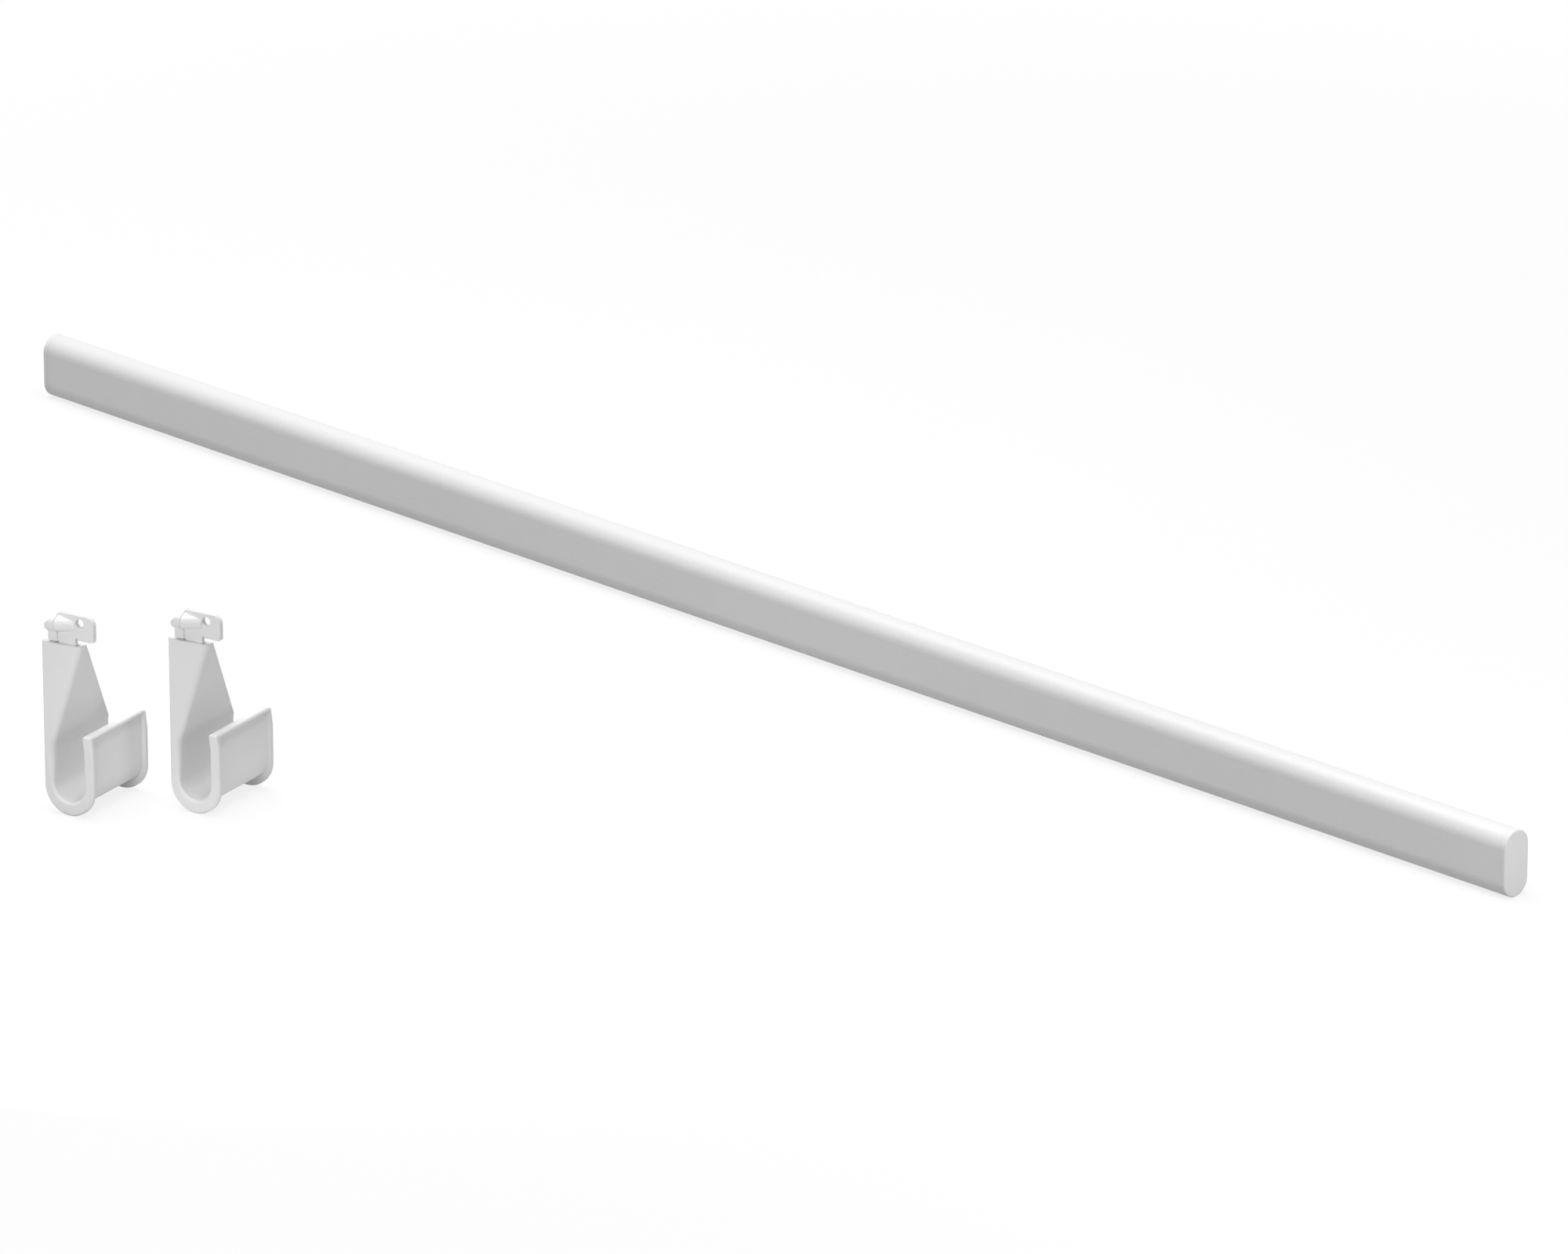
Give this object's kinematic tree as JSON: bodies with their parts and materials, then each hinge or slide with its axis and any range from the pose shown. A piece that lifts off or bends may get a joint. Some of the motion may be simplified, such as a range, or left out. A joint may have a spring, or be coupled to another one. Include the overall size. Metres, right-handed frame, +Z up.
{
  "type": "closet rod",
  "caption": "White oval closet rod with push-in end caps, and loose moulded holders: a U trough under a leaning back wall, topped by a bent hook clip.",
  "frame": {"origin": "under the middle of the rod, on the surface that the rod and the holders stand on", "axes": "+X along the rod, +Z up, +Y away from the holders"},
  "size_m": [0.92, 0.3777, 0.0916],
  "materials": {
    "rod_coat": "satin white powder coat",
    "cap_plastic": "fine moulded grain",
    "holder_plastic": "satin moulded",
    "clip_coat": "satin white coat"
  },
  "bodies": {
    "kit": {"rod_tube": "rod_coat", "left_rod_holder": "holder_plastic", "left_hook_clip": "clip_coat", "right_rod_holder": "holder_plastic", "right_hook_clip": "clip_coat"},
    "left_cap": {"left_end_cap": "cap_plastic"},
    "right_cap": {"right_end_cap": "cap_plastic"}
  },
  "joints": [
    {"name": "left_cap_pull", "type": "slide", "parent": "kit", "child": "left_cap", "axis": [-1, 0, 0], "range_m": [0, 0.017]},
    {"name": "right_cap_pull", "type": "slide", "parent": "kit", "child": "right_cap", "axis": [1, 0, 0], "range_m": [0, 0.017]}
  ]
}
